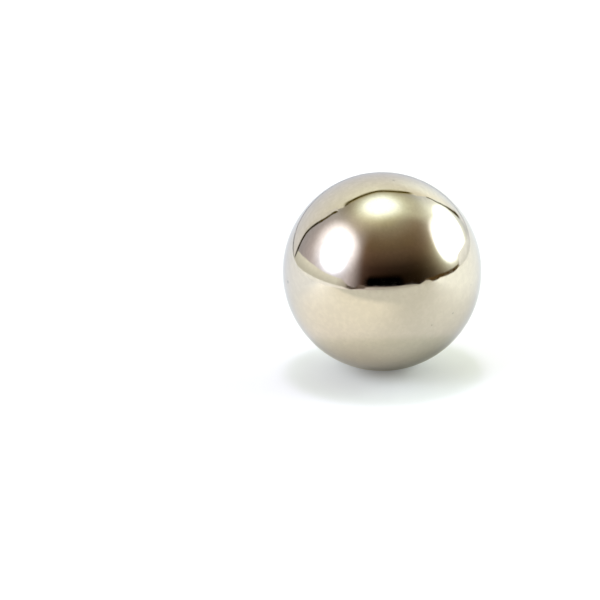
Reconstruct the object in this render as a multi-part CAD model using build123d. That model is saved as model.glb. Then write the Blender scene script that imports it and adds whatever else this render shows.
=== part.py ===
from build123d import *
import os

# Sphere magnet: one ball of sintered magnet alloy, ground round and nickel plated.
# Millimetres, +Z up. The origin is the ball's centre, and the poles lie on the Z axis,
# north at +Z. The plating follows the ground surface and is part of the same solid.

BALL_DIAMETER = 12.7


def make_magnet_ball():
    """The whole magnet: a true sphere whose poles lie on the Z axis."""
    ball = Sphere(radius=BALL_DIAMETER / 2)
    ball.label = "magnet_ball"
    return ball


def write_part(piece):
    """Writes one piece to the parts folder, under the piece's own name."""
    os.makedirs("parts", exist_ok=True)
    export_step(piece, f"parts/{piece.label}.step")


write_part(make_magnet_ball())
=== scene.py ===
"""Sphere magnet: a nickel-plated ball, polished to a mirror, on a pale table in a small white studio."""

import logging
import math
from dataclasses import dataclass
from enum import Enum

import bmesh
import bpy
from mathutils import Matrix, Quaternion, Vector


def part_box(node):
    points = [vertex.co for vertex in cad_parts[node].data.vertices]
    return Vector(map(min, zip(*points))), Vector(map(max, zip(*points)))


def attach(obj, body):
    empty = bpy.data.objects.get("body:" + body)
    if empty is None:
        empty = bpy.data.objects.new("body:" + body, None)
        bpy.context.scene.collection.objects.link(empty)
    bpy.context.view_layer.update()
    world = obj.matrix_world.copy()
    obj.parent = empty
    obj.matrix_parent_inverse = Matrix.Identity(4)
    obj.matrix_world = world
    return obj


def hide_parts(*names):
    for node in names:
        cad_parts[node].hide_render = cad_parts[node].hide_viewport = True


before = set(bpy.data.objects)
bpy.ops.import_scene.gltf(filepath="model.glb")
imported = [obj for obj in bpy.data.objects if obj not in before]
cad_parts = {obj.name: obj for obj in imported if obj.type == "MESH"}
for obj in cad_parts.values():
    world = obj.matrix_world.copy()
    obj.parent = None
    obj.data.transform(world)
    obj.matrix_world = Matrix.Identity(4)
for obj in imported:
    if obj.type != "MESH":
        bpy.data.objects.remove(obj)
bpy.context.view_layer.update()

MM = 0.001
NODE = "magnet_ball"
BODY = "root"

Colour = tuple[float, float, float]
Point = tuple[float, float, float]
Stops = tuple[tuple[float, Colour], ...]
Socket = bpy.types.NodeSocket
Value = float | Socket

BLACK: Colour = (0.0, 0.0, 0.0)
WHITE: Colour = (1.0, 1.0, 1.0)
ZERO: Point = (0.0, 0.0, 0.0)
NOISE_MIDDLE: Point = (0.5, 0.5, 0.5)

log = logging.getLogger("sphere_magnet")


class Axis(Enum):
    """The three axes, by the number that their node sockets have."""

    X = 0
    Y = 1
    Z = 2


class Grain(Enum):
    """How finely noise is broken up, by the number of finer layers that lie on it."""

    SMOOTH = 1.0
    EVEN = 2.0
    FINE = 4.0


def turn_share(bearing: float) -> float:
    """Returns a bearing in degrees as a share of the whole turn that starts at the back."""
    return bearing / 360.0 + 0.5


class NodeBench:
    """A node tree and the few calls that lay nodes out in it."""

    def __init__(self, tree: bpy.types.NodeTree) -> None:
        """Empties the tree that nodes will be added to."""
        self.tree = tree
        tree.nodes.clear()

    def add(self, kind: str, inputs: dict | None = None, **settings: str) -> bpy.types.Node:
        """Adds a node, sets its options and fills or links its inputs.

        Args:
            kind: Blender's name for the node type.
            inputs: input name or number to a value, or to the socket that feeds it.
            **settings: options of the node, such as its operation.

        Returns:
            The new node.
        """
        node = self.tree.nodes.new(kind)
        for name, setting in settings.items():
            setattr(node, name, setting)
        for name, value in (inputs or {}).items():
            self.feed(node.inputs[name], value)
        return node

    def feed(self, socket: Socket, value: Value | Point | Colour) -> None:
        """Links a socket into an input, or writes a constant there.

        Args:
            socket: the input.
            value: a socket, a number, a vector or a colour.
        """
        if isinstance(value, Socket):
            self.tree.links.new(value, socket)
        elif socket.type == "RGBA":
            socket.default_value = (*value, 1.0)
        else:
            socket.default_value = value

    def math(self, operation: str, *values: Value) -> Socket:
        """Returns the result of one Math node, which does an operation on up to three values."""
        return self.add("ShaderNodeMath", dict(enumerate(values)), operation=operation).outputs[0]

    def vector(self, operation: str, *values: Value | Point) -> Socket:
        """Returns the vector that one Vector Math node makes of its inputs."""
        node = self.add("ShaderNodeVectorMath", dict(enumerate(values)), operation=operation)
        return node.outputs["Vector"]

    def measure(self, operation: str, *values: Value | Point) -> Socket:
        """Returns the number that one Vector Math node makes of its inputs."""
        node = self.add("ShaderNodeVectorMath", dict(enumerate(values)), operation=operation)
        return node.outputs["Value"]

    def scale(self, vector: Socket | Point, factor: Value) -> Socket:
        """Returns a vector times a number."""
        inputs = {0: vector, "Scale": factor}
        return self.add("ShaderNodeVectorMath", inputs, operation="SCALE").outputs["Vector"]

    def parts(self, vector: Socket) -> dict[Axis, Socket]:
        """Returns the three parts of a vector, by axis."""
        outputs = self.add("ShaderNodeSeparateXYZ", {0: vector}).outputs
        return {axis: outputs[axis.value] for axis in Axis}

    def fade(self, value: Value, start: Value, end: Value) -> Socket:
        """Returns 0 where a value is at start and 1 where it is at end, with a soft passage between."""
        inputs = {"Value": value, "From Min": start, "From Max": end}
        return self.add("ShaderNodeMapRange", inputs, interpolation_type="SMOOTHSTEP").outputs["Result"]

    def noise(self, place: Socket, size: float, grain: Grain = Grain.EVEN) -> bpy.types.NodeOutputs:
        """Returns the outputs of noise about 0.5, with its largest spots of a size in the place's unit."""
        inputs = {"Vector": place, "Scale": 1.0 / size, "Detail": grain.value}
        return self.add("ShaderNodeTexNoise", inputs, noise_dimensions="3D").outputs

    def blend(self, share: Value, first: Socket | Colour, second: Socket | Colour) -> Socket:
        """Mixes two colours.

        Args:
            share: how much of the second colour there is, from 0 to 1.
            first: the colour at 0.
            second: the colour at 1.

        Returns:
            The mixed colour.
        """
        node = self.add("ShaderNodeMix", data_type="RGBA")
        sockets = {socket.identifier: socket for socket in node.inputs}
        self.feed(sockets["Factor_Float"], share)
        self.feed(sockets["A_Color"], first)
        self.feed(sockets["B_Color"], second)
        return next(socket for socket in node.outputs if socket.identifier == "Result_Color")

    def ramp(self, value: Value, stops: Stops) -> Socket:
        """Makes a colour that follows a value through a row of stops.

        Args:
            value: the number that is looked at.
            stops: the places from 0 to 1, in order, with their colours.

        Returns:
            The colour at the value.
        """
        node = self.add("ShaderNodeValToRGB", {"Fac": value})
        elements = node.color_ramp.elements
        elements.remove(elements[-1])
        first_place, first_colour = stops[0]
        elements[0].position = first_place
        elements[0].color = (*first_colour, 1.0)
        for place, colour in stops[1:]:
            elements.new(place).color = (*colour, 1.0)
        return node.outputs["Color"]

    def outside(self, place: Socket, centre: Point, half_size: Point) -> Socket:
        """Measures how far a place lies outside a box.

        Args:
            place: the place.
            centre: the middle of the box.
            half_size: how far the box reaches from its middle along each axis.

        Returns:
            The distance, which is 0 inside the box.
        """
        offset = self.vector("ABSOLUTE", self.vector("SUBTRACT", place, centre))
        beyond = self.vector("MAXIMUM", self.vector("SUBTRACT", offset, half_size), ZERO)
        return self.measure("LENGTH", beyond)


@dataclass(frozen=True)
class Lamp:
    """A soft lamp behind the cloth: a bright patch there, and a halo that dies away around it.

    Places are in the studio's own directions, in mm from the ball's centre: right, back, up.
    The patch is a box of the half sizes, rounded by the core radius, with a soft edge outside
    it. The tail colour is what is left of the halo at the tail distance outside the core.
    """

    name: str
    centre: Point
    half_size: Point
    core: float
    edge: float
    power: Colour
    halo: Colour = BLACK
    tail: Colour = BLACK
    tail_distance: float = 100.0


@dataclass(frozen=True)
class Tape:
    """A strip of tape or shadow that runs through a row of places on the cloth, in mm.

    The softness is how far its edges fade, as a share of the half width.
    """

    path: tuple[Point, ...]
    half_width: float
    colour: Colour
    softness: float


@dataclass(frozen=True)
class Panel:
    """A side wall of cloth: its colour, and how far it reaches before it fades into its neighbours.

    Each pair is where the cloth is gone and where it is whole, in mm: along the wall from the
    open front, up the wall from the ceiling, and across the studio from its middle.
    """

    colour: Colour
    along: tuple[float, float]
    up: tuple[float, float]
    across: tuple[float, float]


@dataclass(frozen=True)
class Foot:
    """How high the table and the hem of the cloth reach at one bearing, all in degrees.

    The bearing is 0 at the studio's front and positive to the right.
    """

    bearing: float
    table: float
    hem: float


@dataclass
class Studio:
    """A small box of white cloth with soft lamps, open at the front where it is dark.

    It lights the ball and is what the ball mirrors. The camera itself sees plain white.
    Lengths are in mm from the ball's centre, along the studio's own directions, which are
    turned about the upright axis. Foot values and the hem's low and high are heights in degrees,
    and its dark and light are how strongly it is lit there. The shades are the light where no
    panel or back wall reaches, by the sine of the height.

    The shades, the panels and most values of the lamps come from a least-squares fit to the
    photograph. The seams and the feet were placed by measuring it.
    """

    turn_deg: float = 17.0
    left: float = 220.0
    right: float = 380.0
    back: float = 308.0
    front: float = 300.0
    top: float = 456.0
    corner_power: float = 5.0
    back_lap: tuple[float, float] = (6.0, 5.0)
    fold_size: float = 60.0
    fold_shift: float = 8.0
    weave_size: float = 22.0
    weave_strength: float = 0.24
    back_low: Colour = (0.975, 0.97, 0.93)
    back_high: Colour = (0.88, 0.86, 0.695)
    foot_low: float = -10.0
    foot_span: float = 20.0
    foot_edge: float = 0.35
    hem_low: float = -3.5
    hem_high: float = 6.0
    hem_dark: float = 0.83
    hem_light: float = 1.13
    lap_cloth: Colour = (0.92, 0.90, 0.80)
    tape_brown: Colour = (0.08, 0.055, 0.0)
    tape_dark: Colour = (0.03, 0.02, 0.0)
    tape_glue: Colour = (0.44, 0.39, 0.17)
    crease_grey: Colour = (0.50, 0.48, 0.43)
    shades: Stops = (
        (0.22, BLACK),
        (0.375, (0.017, 0.009, 0.006)),
        (0.50, (0.060, 0.036, 0.021)),
        (0.62, (0.106, 0.065, 0.038)),
        (0.71, (0.133, 0.085, 0.043)),
        (0.79, (0.165, 0.107, 0.056)),
        (0.87, (0.205, 0.141, 0.083)),
        (0.93, (0.220, 0.157, 0.083)),
        (1.00, (0.238, 0.150, 0.001)),
    )
    left_panel: Panel = Panel(
        colour=(0.453, 0.446, 0.469), along=(-240.0, -108.0), up=(461.0, 243.0), across=(-50.0, -201.0)
    )
    right_panel: Panel = Panel(
        colour=(0.66, 0.724, 0.738), along=(-341.0, 220.0), up=(478.0, 326.0), across=(118.0, 311.0)
    )

    def lamps(self) -> list[Lamp]:
        """Lists the soft lamps at both sides, above and behind.

        Returns:
            The lamps.
        """
        return [
            Lamp("left", (-self.left, -26.0, 139.0), (0.0, 3.0, 32.0), core=44.5, edge=47.0,
                 power=(1.55, 1.7, 1.95), halo=(1.15, 1.43, 2.0), tail=(0.201, 0.124, 0.084)),
            Lamp("left, upper", (-self.left, -9.0, 190.5), (0.0, 18.0, 0.0), core=5.0, edge=180.0,
                 power=(1.5, 1.5, 1.6)),
            Lamp("top", (20.0, 82.0, self.top), (9.0, 0.0, 0.0), core=84.0, edge=93.0,
                 power=(0.151, 0.174, 0.271), halo=(1.29, 1.48, 1.29), tail=(0.308, 0.30, 0.273)),
            Lamp("top, middle", (20.0, 82.0, self.top), ZERO, core=30.0, edge=30.0,
                 power=(20.0, 16.0, 25.0)),
            Lamp("ceiling", (208.0, 83.5, self.top), (210.0, 0.0, 0.0), core=73.0, edge=140.0,
                 power=(0.241, 0.282, 0.20)),
            Lamp("ceiling, left", (-171.0, -10.5, self.top), (57.5, 8.0, 0.0), core=5.0, edge=189.0,
                 power=(0.173, 0.164, 0.128)),
            Lamp("right", (self.right, 7.0, 175.5), (0.0, 87.0, 1.0), core=99.0, edge=55.5,
                 power=(1.6, 1.65, 1.75), halo=(1.69, 2.0, 1.80), tail=(0.168, 0.124, 0.085)),
            Lamp("right, front", (self.right, -68.5, 219.0), ZERO, core=83.5, edge=86.0,
                 power=(1.5, 1.5, 1.6)),
            Lamp("back, right", (259.0, self.back, 124.5), (0.0, 0.0, 71.5), core=5.0, edge=153.0,
                 power=(0.25, 0.326, 0.289)),
        ]

    def tapes(self) -> list[Tape]:
        """Lists the taped seams around the back wall, and the creases and shadows at the table.

        Returns:
            The strips, each laid over those before it.
        """
        left, right, back, front, top = -self.left, self.right, self.back, -self.front, self.top
        left_lap = ((left, 300, 110), (left, 280, 199), (left, 274, 239), (left, 284, 314), (left, 291, 350))
        left_foot = (
            (left, 286, -14), (left, 285, 29), (left, 291, 61),
            (left, 290, 98), (left, 277, 134), (left, 246, 199),
        )
        left_knot = ((left, 258, 322), (left, 263, 343))
        left_seam = ((left, 246, 199), (left, 241, 239), (left, 256, 314), (left, 263, 343))
        top_seam = (
            (-146, back, 434), (-105, back, top), (-44, 298, top), (11, 300, top), (66, 305, top),
            (93, 298, top), (143, 287, top), (203, 282, top), (264, 295, top), (303, back, 443),
        )
        top_knot = ((-181, 307, top), (-132, back, 445), (-81, 302, top))
        right_seam = ((right, 299, 316), (right, 270, 229), (right, 276, 167), (right, 282, 137))
        right_foot = ((right, 282, 137), (right, 296, 77), (366, 306, 62))
        right_crease = ((right, 20, -4), (right, back, -6), (330, back, -5))
        shadow = ((-184, front, 32), (-10, front, 24))
        return [
            Tape(left_lap, 32.0, self.lap_cloth, softness=0.15),
            Tape(left_foot, 16.5, self.tape_dark, softness=0.4),
            Tape(left_seam, 15.0, self.tape_brown, softness=0.5),
            Tape(left_knot, 20.0, self.tape_brown, softness=0.5),
            Tape(top_seam, 28.0, self.tape_glue, softness=0.9),
            Tape(top_seam, 15.0, self.tape_brown, softness=0.5),
            Tape(top_knot, 17.0, self.tape_brown, softness=0.5),
            Tape(right_seam, 8.5, self.tape_brown, softness=0.6),
            Tape(right_foot, 17.0, self.tape_brown, softness=0.5),
            Tape(right_crease, 5.0, self.crease_grey, softness=0.6),
            Tape(shadow, 44.0, BLACK, softness=0.5),
        ]

    def feet(self) -> list[Foot]:
        """Lists how high the table and the hem reach, bearing by bearing.

        Returns:
            The heights, from the back round by the left, the front and the right.
        """
        return [
            Foot(-180, -2.0, 0.0), Foot(-160, -2.7, -0.6), Foot(-142.6, -3.8, -3.0),
            Foot(-140.8, -3.7, 2.5), Foot(-136, -4.2, 3.8), Foot(-122, -3.8, 5.9), Foot(-107, -2.7, 6.8),
            Foot(-66, -2.8, 5.0), Foot(-58, -4.0, -0.6), Foot(-54, -4.4, -1.3), Foot(-50, -3.7, -2.4),
            Foot(-45, -2.8, 1.8), Foot(-39, -2.1, 1.6), Foot(-36.5, -0.4, 0.5), Foot(-27, 0.2, 1.1),
            Foot(1, 0.6, 1.0), Foot(16, 1.0, 1.0), Foot(25, -0.7, -0.7), Foot(29, 0.9, 0.9),
            Foot(33, 2.0, 3.8), Foot(37, 1.2, 3.8), Foot(43, -1.6, 3.3), Foot(51, 0.2, 3.7),
            Foot(64, -0.9, 2.5), Foot(73, -1.3, 2.1), Foot(82, 0.0, 1.9), Foot(84.5, -0.6, 8.0),
            Foot(91, -0.9, 7.9), Foot(103, -1.1, 6.4), Foot(118, -1.4, 2.1), Foot(128, -1.6, 0.2),
            Foot(150, -2.0, 0.0),
        ]

    def hem_colours(self) -> Stops:
        """Lists the colours of the hem.

        Returns:
            The colours, by share of the turn that starts at the back.
        """
        grey, pale, lit = (0.50, 0.51, 0.50), (0.93, 0.93, 0.80), (1.13, 1.16, 1.09)
        shade, dark = (0.10, 0.075, 0.05), (0.10, 0.06, 0.02)
        bearings = (
            (-180, grey), (-152, grey), (-143, pale), (-73, pale), (-61, (0.60, 0.56, 0.48)),
            (-58, shade), (-50, shade), (-46, (0.20, 0.15, 0.12)), (0, (0.25, 0.22, 0.18)),
            (28, (0.16, 0.12, 0.07)), (38, dark), (74, dark), (81, (0.16, 0.12, 0.03)),
            (84, (1.13, 1.16, 1.08)), (120, lit), (150, grey),
        )
        return tuple((turn_share(bearing), colour) for bearing, colour in bearings)

    def table_colours(self) -> Stops:
        """Lists the colours of the table's far rim.

        Returns:
            The colours, by share of the turn that starts at the back.
        """
        bearings = (
            (-170, (1.2, 1.25, 1.2)), (-80, (1.33, 1.34, 1.28)), (-60, (1.13, 1.08, 1.0)),
            (-43, (0.76, 0.70, 0.65)), (-18, (0.60, 0.56, 0.50)), (20, (0.62, 0.60, 0.52)),
            (32, (0.80, 0.78, 0.66)), (51, (1.08, 1.04, 0.86)), (68, (1.32, 1.34, 1.12)),
            (110, (1.3, 1.34, 1.24)), (145, (1.2, 1.28, 1.22)),
        )
        return tuple((turn_share(bearing), colour) for bearing, colour in bearings)

    def build(self) -> bpy.types.World:
        """Makes the studio as the scene's world.

        Returns:
            The world.
        """
        world = bpy.data.worlds.new("studio")
        world.use_nodes = True
        bench = NodeBench(world.node_tree)
        direction = self.turned(bench, bench.add("ShaderNodeTexCoord").outputs["Generated"])
        flat, rounded = self.wall_places(bench, direction)
        folds = bench.vector("SUBTRACT", bench.noise(flat, self.fold_size)["Color"], NOISE_MIDDLE)
        flat = bench.vector("ADD", flat, bench.scale(folds, self.fold_shift))
        colour = self.cloth_colour(bench, direction, flat, rounded)
        for lamp in self.lamps():
            colour = bench.vector("ADD", colour, self.lamp_light(bench, rounded, lamp))
        colour = self.with_weave(bench, flat, colour)
        for tape in self.tapes():
            colour = bench.blend(self.tape_mask(bench, flat, tape), colour, tape.colour)
        colour = self.with_foot(bench, direction, folds, colour)
        seen = bench.add("ShaderNodeLightPath").outputs["Is Camera Ray"]
        lit = bench.add("ShaderNodeBackground", {"Color": colour}).outputs[0]
        plain = bench.add("ShaderNodeBackground", {"Color": WHITE}).outputs[0]
        shown = bench.add("ShaderNodeMixShader", {0: seen, 1: lit, 2: plain}).outputs[0]
        bench.add("ShaderNodeOutputWorld", {"Surface": shown})
        bpy.context.scene.world = world
        return world

    def turned(self, bench: NodeBench, place: Socket) -> Socket:
        """Returns a place or a direction, turned into the studio's own directions."""
        turn = {"Vector": place, "Angle": -math.radians(self.turn_deg)}
        return bench.add("ShaderNodeVectorRotate", turn, rotation_type="Z_AXIS").outputs[0]

    def wall_places(self, bench: NodeBench, direction: Socket) -> tuple[Socket, Socket]:
        """Finds where a direction meets the studio's walls.

        Args:
            bench: the world's nodes.
            direction: the direction, in the studio's own directions.

        Returns:
            The place on the flat walls, and the place on the same box with rounded corners, in mm.
        """
        # The box goes as far down as up, so that only the walls are met near the table's rim.
        reaches = {
            Axis.X: (self.left, self.right),
            Axis.Y: (self.front, self.back),
            Axis.Z: (self.top, self.top),
        }
        shares = []
        for axis, part in bench.parts(direction).items():
            below, above = reaches[axis]
            reach = bench.math("MULTIPLY_ADD", bench.math("GREATER_THAN", part, 0.0), above - below, below)
            shares.append(bench.math("DIVIDE", bench.math("ABSOLUTE", part), reach))
        largest = bench.math("MAXIMUM", bench.math("MAXIMUM", shares[0], shares[1]), shares[2])
        powers = [bench.math("POWER", share, self.corner_power) for share in shares]
        total = bench.math("ADD", bench.math("ADD", powers[0], powers[1]), powers[2])
        flat = bench.scale(direction, bench.math("DIVIDE", 1.0, largest))
        rounded = bench.scale(direction, bench.math("POWER", total, -1.0 / self.corner_power))
        return flat, rounded

    def cloth_colour(self, bench: NodeBench, direction: Socket, flat: Socket, rounded: Socket) -> Socket:
        """Lays out the light of the walls, the ceiling and the dark opening, without the lamps.

        Args:
            bench: the world's nodes.
            direction: the direction, in the studio's own directions.
            flat: its place on the flat walls.
            rounded: its place on the rounded walls.

        Returns:
            The light.
        """
        colour = bench.ramp(bench.parts(direction)[Axis.Z], self.shades)
        for panel in (self.left_panel, self.right_panel):
            colour = bench.blend(self.panel_mask(bench, rounded, panel), colour, panel.colour)
        place = bench.parts(flat)
        back_wall = bench.blend(bench.fade(place[Axis.Z], 0.0, self.top), self.back_low, self.back_high)
        starts, whole = (self.back - lap for lap in self.back_lap)
        return bench.blend(bench.fade(place[Axis.Y], starts, whole), colour, back_wall)

    def panel_mask(self, bench: NodeBench, place: Socket, panel: Panel) -> Socket:
        """Marks a side wall's cloth.

        Args:
            bench: the world's nodes.
            place: the place, in mm.
            panel: the side wall.

        Returns:
            1 on the cloth and 0 away from it.
        """
        parts = bench.parts(place)
        across = bench.fade(parts[Axis.X], *panel.across)
        along = bench.fade(parts[Axis.Y], *panel.along)
        up = bench.fade(parts[Axis.Z], *panel.up)
        return bench.math("MULTIPLY", bench.math("MULTIPLY", across, along), up)

    def lamp_light(self, bench: NodeBench, place: Socket, lamp: Lamp) -> Socket:
        """Works out the light that a lamp adds at a place on the cloth.

        Args:
            bench: the world's nodes.
            place: the place, in mm.
            lamp: the lamp.

        Returns:
            The added light.
        """
        distance = bench.outside(place, lamp.centre, lamp.half_size)
        patch = bench.fade(distance, lamp.core + lamp.edge, lamp.core)
        light = bench.scale(lamp.power, patch)
        if lamp.halo == BLACK:
            return light
        steps = bench.math("DIVIDE", bench.math("SUBTRACT", distance, lamp.core), lamp.tail_distance)
        falloff = {"Color": lamp.tail, "Gamma": bench.math("MAXIMUM", steps, 0.0)}
        halo = bench.add("ShaderNodeGamma", falloff).outputs[0]
        return bench.vector("MULTIPLY_ADD", halo, lamp.halo, light)

    def with_weave(self, bench: NodeBench, place: Socket, colour: Socket) -> Socket:
        """Makes light a little uneven, as cloth does.

        Args:
            bench: the world's nodes.
            place: the place, in mm.
            colour: the light.

        Returns:
            The uneven light.
        """
        noise = bench.noise(place, self.weave_size)["Fac"]
        strength = self.weave_strength
        return bench.scale(colour, bench.math("MULTIPLY_ADD", noise, strength, 1.0 - strength / 2))

    def tape_mask(self, bench: NodeBench, place: Socket, tape: Tape) -> Socket:
        """Marks a strip of tape.

        Args:
            bench: the world's nodes.
            place: the place, in mm.
            tape: the strip.

        Returns:
            1 on the strip and 0 away from it.
        """
        nearest: Socket | None = None
        for start, end in zip(tape.path, tape.path[1:]):
            run = Vector(end) - Vector(start)
            away = bench.vector("SUBTRACT", place, start)
            along = bench.measure("DOT_PRODUCT", away, tuple(run / run.length_squared))
            share = bench.add("ShaderNodeClamp", {"Value": along}).outputs[0]
            distance = bench.measure("DISTANCE", away, bench.scale(tuple(run), share))
            nearest = distance if nearest is None else bench.math("MINIMUM", nearest, distance)
        outer = tape.half_width * (1.0 + tape.softness)
        inner = tape.half_width * (1.0 - tape.softness)
        return bench.fade(nearest, outer, inner)

    def with_foot(self, bench: NodeBench, direction: Socket, folds: Socket, colour: Socket) -> Socket:
        """Lays the hem and the far rim of the table over the light of the walls.

        Args:
            bench: the world's nodes.
            direction: the direction, in the studio's own directions.
            folds: how the cloth's folds shift what is on it.
            colour: the light of the walls.

        Returns:
            The light with the hem and the rim.
        """
        parts = bench.parts(direction)
        bearing = bench.math("ARCTAN2", parts[Axis.X], bench.math("MULTIPLY", parts[Axis.Y], -1.0))
        share = bench.math("MULTIPLY_ADD", bearing, 1.0 / math.tau, 0.5)
        rise = bench.math("MULTIPLY", bench.math("ARCSINE", parts[Axis.Z]), math.degrees(1.0))
        height = bench.math("ADD", rise, bench.parts(folds)[Axis.X])
        rim_mask, hem_mask = self.foot_masks(bench, share, height)
        lit = bench.fade(height, self.hem_low, self.hem_high)
        lit = bench.math("MULTIPLY_ADD", lit, self.hem_light - self.hem_dark, self.hem_dark)
        hem = bench.scale(bench.ramp(share, self.hem_colours()), lit)
        colour = bench.blend(hem_mask, colour, hem)
        return bench.blend(rim_mask, colour, bench.ramp(share, self.table_colours()))

    def foot_masks(self, bench: NodeBench, share: Socket, height: Socket) -> tuple[Socket, Socket]:
        """Marks what lies below the table's rim and below the top of the hem.

        Args:
            bench: the world's nodes.
            share: the bearing, as a share of the turn that starts at the back.
            height: the height, in degrees.

        Returns:
            The rim's mask and the hem's mask.
        """
        stops = []
        for foot in self.feet():
            table, hem = ((top - self.foot_low) / self.foot_span for top in (foot.table, foot.hem))
            stops.append((turn_share(foot.bearing), (table, hem, 0.0)))
        tops = bench.parts(bench.ramp(share, tuple(stops)))
        masks = []
        for axis in (Axis.X, Axis.Y):
            top = bench.math("MULTIPLY_ADD", tops[axis], self.foot_span, self.foot_low)
            above = bench.math("SUBTRACT", height, top)
            masks.append(bench.fade(above, self.foot_edge, -self.foot_edge))
        return masks[0], masks[1]


@dataclass
class Table:
    """The pale table top that the ball lies on. It ends at the studio's walls, and nearer at the left.

    The lift is plain white added for what the camera sees, so that the open table is white and
    keeps the ball's shadow. The glow is painted light added for what a mirror sees: it is brighter
    at the sides, under the lamps, than at the dark front, a pool of it lies under the left lamp,
    and it fades out near the ball's foot as a painted shadow. For mirrors the table's colour is
    also a darker copy, darker still towards the dark front: painted shade.
    Lengths are in mm, apart from the height, which the frame gives in metres. The glow's
    colours and reach come from the fit that gave the studio's lamps.
    """

    height: float
    studio: Studio
    left: float = 75.0
    colour: Colour = (0.80, 0.84, 0.84)
    lift: float = 0.135
    mirrored_shaded_colour: Colour = (0.65, 0.65, 0.56)
    mirrored_dim: float = 0.26
    dim_start: float = -40.0
    dim_end: float = -220.0
    glow_left: Colour = (0.30, 0.336, 0.434)
    glow_right: Colour = (0.50, 0.554, 0.549)
    glow_sideways: float = 0.63
    glow_start: float = -15.0
    glow_end: float = 24.5
    glow_turn: float = 29.0
    painted_shadow_inner: float = 3.5
    painted_shadow_outer: float = 6.5
    pool_colour: Colour = (0.32, 0.29, 0.22)
    pool_centre: tuple[float, float] = (-50.0, -10.0)
    pool_half: tuple[float, float] = (40.0, 8.0)
    pool_inner: float = 1.0
    pool_outer: float = 14.0

    def build(self) -> bpy.types.Object:
        """Makes the table top.

        Returns:
            The table top.
        """
        studio = self.studio
        mesh = bpy.data.meshes.new("table")
        bm = bmesh.new()
        # A square of side 1, which the next lines stretch to the table's size.
        bmesh.ops.create_grid(bm, x_segments=1, y_segments=1, size=0.5)
        size = Vector((self.left + studio.right, studio.front + studio.back, 0.0)) * MM
        centre = Vector((studio.right - self.left, studio.back - studio.front, 0.0)) * MM / 2
        bmesh.ops.scale(bm, verts=bm.verts, vec=size)
        bmesh.ops.translate(bm, verts=bm.verts, vec=centre)
        turn = Matrix.Rotation(math.radians(studio.turn_deg), 3, "Z")
        bmesh.ops.rotate(bm, verts=bm.verts, cent=ZERO, matrix=turn)
        bmesh.ops.translate(bm, verts=bm.verts, vec=(0.0, 0.0, self.height))
        bm.to_mesh(mesh)
        bm.free()
        table = bpy.data.objects.new("table", mesh)
        bpy.context.scene.collection.objects.link(table)
        mesh.materials.append(self.material())
        return table

    def material(self) -> bpy.types.Material:
        """Makes matt white that is lifted for the camera, and for mirrors glows with painted light and is
        darkened with painted shade.

        Returns:
            The material.
        """
        material = bpy.data.materials.new("table_white")
        material.use_nodes = True
        bench = NodeBench(material.node_tree)
        path = bench.add("ShaderNodeLightPath").outputs
        mirrored = bench.math("MAXIMUM", path["Is Glossy Ray"], path["Is Transmission Ray"])
        spot = bench.scale(bench.add("ShaderNodeTexCoord").outputs["Object"], 1.0 / MM)
        reach = self.reach(bench, spot)
        # The glow is painted light from the lamps, shown only to mirrors.
        glow = bench.scale(self.glow(bench, spot, reach), mirrored)
        lift = bench.scale(WHITE, bench.math("MULTIPLY", path["Is Camera Ray"], self.lift))
        # For mirrors the colour is a darker copy, darker still towards the dark front: painted shade.
        far = bench.fade(reach, self.dim_start, self.dim_end)
        dim = bench.math("MULTIPLY_ADD", far, -self.mirrored_dim, 1.0)
        colour = bench.blend(mirrored, self.colour, bench.scale(self.mirrored_shaded_colour, dim))
        matt = bench.add("ShaderNodeBsdfDiffuse", {"Color": colour}).outputs[0]
        light = bench.add("ShaderNodeEmission", {"Color": bench.vector("ADD", glow, lift)}).outputs[0]
        both = bench.add("ShaderNodeAddShader", {0: matt, 1: light}).outputs[0]
        bench.add("ShaderNodeOutputMaterial", {"Surface": both})
        return material

    def reach(self, bench: NodeBench, spot: Socket) -> Socket:
        """Works out how far a spot lies from the dark front: further back or further aside is more.

        Args:
            bench: the table's nodes.
            spot: the spot on the table, in mm.

        Returns:
            The reach, in mm.
        """
        place = bench.parts(spot)
        sideways = bench.math("MULTIPLY", bench.math("ABSOLUTE", place[Axis.X]), self.glow_sideways)
        return bench.math("ADD", place[Axis.Y], sideways)

    def glow(self, bench: NodeBench, spot: Socket, reach: Socket) -> Socket:
        """Works out the painted light that the table adds in a mirror, with the ball's shadow painted in
        near its foot.

        Args:
            bench: the table's nodes.
            spot: the spot on the table, in mm.
            reach: how far the spot lies from the dark front, in mm.

        Returns:
            The added light.
        """
        height = self.height / MM
        # Near the ball's foot the glow fades out: a painted shadow of the ball.
        away = bench.measure("DISTANCE", spot, (0.0, 0.0, height))
        clear = bench.fade(away, self.painted_shadow_inner, self.painted_shadow_outer)
        share = bench.math("MULTIPLY", bench.fade(reach, self.glow_start, self.glow_end), clear)
        side = bench.fade(bench.parts(spot)[Axis.X], -self.glow_turn, self.glow_turn)
        glow = bench.scale(bench.blend(side, self.glow_left, self.glow_right), share)
        # A pool of painted light lies on the table under the left lamp.
        place = self.studio.turned(bench, spot)
        beyond = bench.outside(place, (*self.pool_centre, height), (*self.pool_half, 0.0))
        pool = bench.fade(beyond, self.pool_outer, self.pool_inner)
        return bench.vector("ADD", glow, bench.scale(self.pool_colour, pool))


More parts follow.
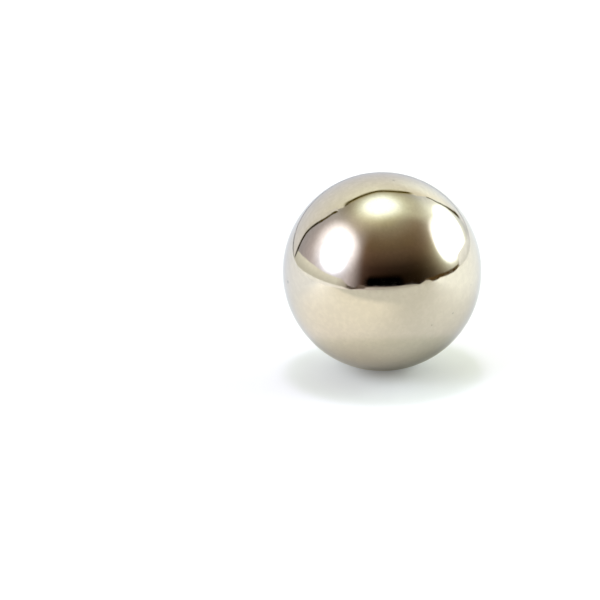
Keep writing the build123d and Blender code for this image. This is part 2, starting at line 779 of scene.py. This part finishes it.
@dataclass
class Viewpoint:
    """The camera, placed about the ball's centre in mm and degrees. Its lens and sensor are in mm.

    Its place, aim, roll and lens come from a fit to the outlines in the photograph.
    """

    distance: float = 263.12
    bearing_deg: float = -1.586
    height_deg: float = 18.62
    aim: Point = (-5.259, -0.48, -1.68)
    roll_deg: float = -0.819
    focal_length: float = 247.74
    sensor_width: float = 36.0
    near: float = 10.0
    far: float = 10000.0

    def build(self) -> bpy.types.Object:
        """Makes the camera and sets it as the scene's own.

        Returns:
            The camera.
        """
        data = bpy.data.cameras.new("camera")
        data.sensor_width = self.sensor_width
        data.lens = self.focal_length
        data.clip_start = self.near * MM
        data.clip_end = self.far * MM
        camera = bpy.data.objects.new("camera", data)
        bearing, height = math.radians(self.bearing_deg), math.radians(self.height_deg)
        level = Vector((math.sin(bearing), -math.cos(bearing), 0.0)) * math.cos(height)
        camera.location = (level + Vector((0.0, 0.0, math.sin(height)))) * self.distance * MM
        look = Vector(self.aim) * MM - camera.location
        upright = look.to_track_quat("-Z", "Y")
        camera.rotation_mode = "QUATERNION"
        camera.rotation_quaternion = upright @ Quaternion((0.0, 0.0, 1.0), math.radians(self.roll_deg))
        bpy.context.scene.collection.objects.link(camera)
        bpy.context.scene.camera = camera
        return camera


@dataclass(frozen=True)
class Hairlines:
    """One set of fine polishing lines that run one way: their turn in degrees, length and width in mm.

    The lines start where their noise is above start, and are full above full.
    """

    turn_deg: Point
    length: float
    width: float
    start: float
    full: float


@dataclass(frozen=True)
class Speck:
    """A tiny pit or grain in the plating: its place on the ball and its radius, in mm."""

    place: Point
    radius: float
    strength: float


@dataclass(frozen=True)
class NickelPlating:
    """Bright nickel plate, polished to a mirror: faint haze, hairlines and a few specks on it.

    Lengths are in mm, but the line spacing is in widths of a line and the speck softness is
    a share of a speck's radius. The colours are what the clean plate, the haze, the hairlines,
    the specks and the plate seen at a glancing angle send back. The edge tint comes from the
    fit that gave the studio's lamps.
    """

    colour: Colour = (0.67, 0.62, 0.548)
    haze_colour: Colour = (0.64, 0.59, 0.523)
    line_colour: Colour = (0.637, 0.589, 0.52)
    speck_colour: Colour = (0.22, 0.23, 0.24)
    edge_tint: Colour = (0.754, 0.783, 0.886)
    roughness: float = 0.038
    haze_roughness: float = 0.03
    line_roughness: float = 0.025
    speck_roughness: float = 0.3
    haze_size: float = 0.45
    haze_start: float = 0.35
    haze_full: float = 0.65
    ripple_size: float = 1.6
    ripple_height: float = 0.0009
    line_spacing: float = 4.0
    speck_softness: float = 0.4
    hairlines: tuple[Hairlines, ...] = (
        Hairlines((0.0, -79.0, 58.0), length=0.4, width=0.06, start=0.45, full=0.70),
        Hairlines((20.0, 10.0, 35.0), length=2.6, width=0.035, start=0.66, full=0.76),
        Hairlines((-30.0, 60.0, -25.0), length=2.0, width=0.03, start=0.67, full=0.77),
        Hairlines((70.0, -20.0, 80.0), length=1.6, width=0.035, start=0.68, full=0.78),
    )
    specks: tuple[Speck, ...] = (
        Speck((-6.02, -2.03, 0.08), radius=0.09, strength=0.7),
        Speck((0.75, -0.68, 6.27), radius=0.08, strength=0.35),
        Speck((4.31, -4.47, -1.35), radius=0.05, strength=0.6),
        Speck((2.94, -5.32, -1.82), radius=0.05, strength=0.5),
        Speck((5.51, -3.15, 0.06), radius=0.04, strength=0.5),
        Speck((2.6, 5.5, 1.8), radius=0.06, strength=0.6),
        Speck((-3.4, 4.9, -2.1), radius=0.05, strength=0.6),
    )

    def material(self) -> bpy.types.Material:
        """Makes the plating.

        Returns:
            The material.
        """
        material = bpy.data.materials.new("nickel_plating")
        material.use_nodes = True
        bench = NodeBench(material.node_tree)
        place = bench.scale(bench.add("ShaderNodeTexCoord").outputs["Object"], 1.0 / MM)
        mottling = bench.noise(place, self.haze_size, Grain.FINE)["Fac"]
        haze = bench.fade(mottling, self.haze_start, self.haze_full)
        lines = self.line_mask(bench, place)
        specks = self.speck_mask(bench, place)
        colour = bench.blend(haze, self.colour, self.haze_colour)
        colour = bench.blend(lines, colour, self.line_colour)
        colour = bench.blend(specks, colour, self.speck_colour)
        roughness = bench.math("MULTIPLY_ADD", haze, self.haze_roughness, self.roughness)
        roughness = bench.math("MULTIPLY_ADD", lines, self.line_roughness, roughness)
        roughness = bench.math("MULTIPLY_ADD", specks, self.speck_roughness, roughness)
        ripple = bench.noise(place, self.ripple_size, Grain.SMOOTH)["Fac"]
        height = bench.math("MULTIPLY", ripple, self.ripple_height * MM)
        normal = bench.add("ShaderNodeBump", {"Height": height, "Distance": 1.0}).outputs["Normal"]
        shader = {
            "Base Color": colour,
            "Metallic": 1.0,
            "Roughness": roughness,
            "Specular Tint": self.edge_tint,
            "Normal": normal,
        }
        plate = bench.add("ShaderNodeBsdfPrincipled", shader).outputs[0]
        bench.add("ShaderNodeOutputMaterial", {"Surface": plate})
        return material

    def line_mask(self, bench: NodeBench, place: Socket) -> Socket:
        """Marks the hairlines, as noise that is stretched along each set's own direction.

        Args:
            bench: the material's nodes.
            place: the place on the ball, in mm.

        Returns:
            1 in a hairline and 0 beside it.
        """
        mask: Value = 0.0
        for lines in self.hairlines:
            turn = {"Vector": place, "Rotation": tuple(math.radians(angle) for angle in lines.turn_deg)}
            along = bench.add("ShaderNodeVectorRotate", turn, rotation_type="EULER_XYZ").outputs[0]
            stretched = bench.vector("MULTIPLY", along, (lines.width / lines.length, 1.0, 1.0))
            noise = bench.noise(stretched, lines.width * self.line_spacing, Grain.SMOOTH)["Fac"]
            mask = bench.math("MAXIMUM", bench.fade(noise, lines.start, lines.full), mask)
        return mask

    def speck_mask(self, bench: NodeBench, place: Socket) -> Socket:
        """Marks the specks.

        Args:
            bench: the material's nodes.
            place: the place on the ball, in mm.

        Returns:
            How much of a speck there is, from 0 to 1.
        """
        mask: Value = 0.0
        for speck in self.specks:
            distance = bench.measure("DISTANCE", place, speck.place)
            outer = speck.radius * (1.0 + self.speck_softness)
            inner = speck.radius * (1.0 - self.speck_softness)
            spot = bench.fade(distance, outer, inner)
            mask = bench.math("MAXIMUM", bench.math("MULTIPLY", spot, speck.strength), mask)
        return mask


@dataclass
class MagnetBall:
    """The magnet itself: one ground and plated ball. Its radius is in metres, as the frame gives it."""

    radius: float
    cuts: int = 95
    finish: NickelPlating = NickelPlating()

    def build(self) -> bpy.types.Object:
        """Makes the ball and dresses it, to stand for the plain solid.

        Returns:
            The ball.
        """
        mesh = bpy.data.meshes.new("polished_ball")
        bm = bmesh.new()
        bmesh.ops.create_cube(bm, size=2.0)
        bmesh.ops.subdivide_edges(bm, edges=bm.edges, cuts=self.cuts, use_grid_fill=True)
        # Equal angles instead of equal steps keep the faces nearly the same size all over.
        for vert in bm.verts:
            even = Vector(math.tan(part * math.pi / 4) for part in vert.co)
            vert.co = even.normalized() * self.radius
        for face in bm.faces:
            face.smooth = True
        bmesh.ops.recalc_face_normals(bm, faces=bm.faces)
        bm.to_mesh(mesh)
        bm.free()
        ball = bpy.data.objects.new("polished_ball", mesh)
        bpy.context.scene.collection.objects.link(ball)
        mesh.materials.append(self.finish.material())
        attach(ball, BODY)
        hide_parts(NODE)
        return ball


def main() -> None:
    """Builds the ball, the studio, the table and the camera in turn, and reports each."""
    logging.basicConfig(level=logging.INFO, format="%(name)s: %(message)s")
    bpy.context.scene.view_settings.view_transform = "Standard"
    low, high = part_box(NODE)
    ball = MagnetBall(radius=(high.z - low.z) / 2).build()
    log.info("%s: %d faces", ball.name, len(ball.data.polygons))
    studio = Studio()
    world = studio.build()
    log.info("%s: lamps %s", world.name, "; ".join(lamp.name for lamp in studio.lamps()))
    table = Table(height=low.z, studio=studio).build()
    log.info("%s: at %.2f mm", table.name, low.z / MM)
    camera = Viewpoint().build()
    log.info("%s: %.0f mm lens", camera.name, camera.data.lens)


if __name__ == "__main__":
    main()
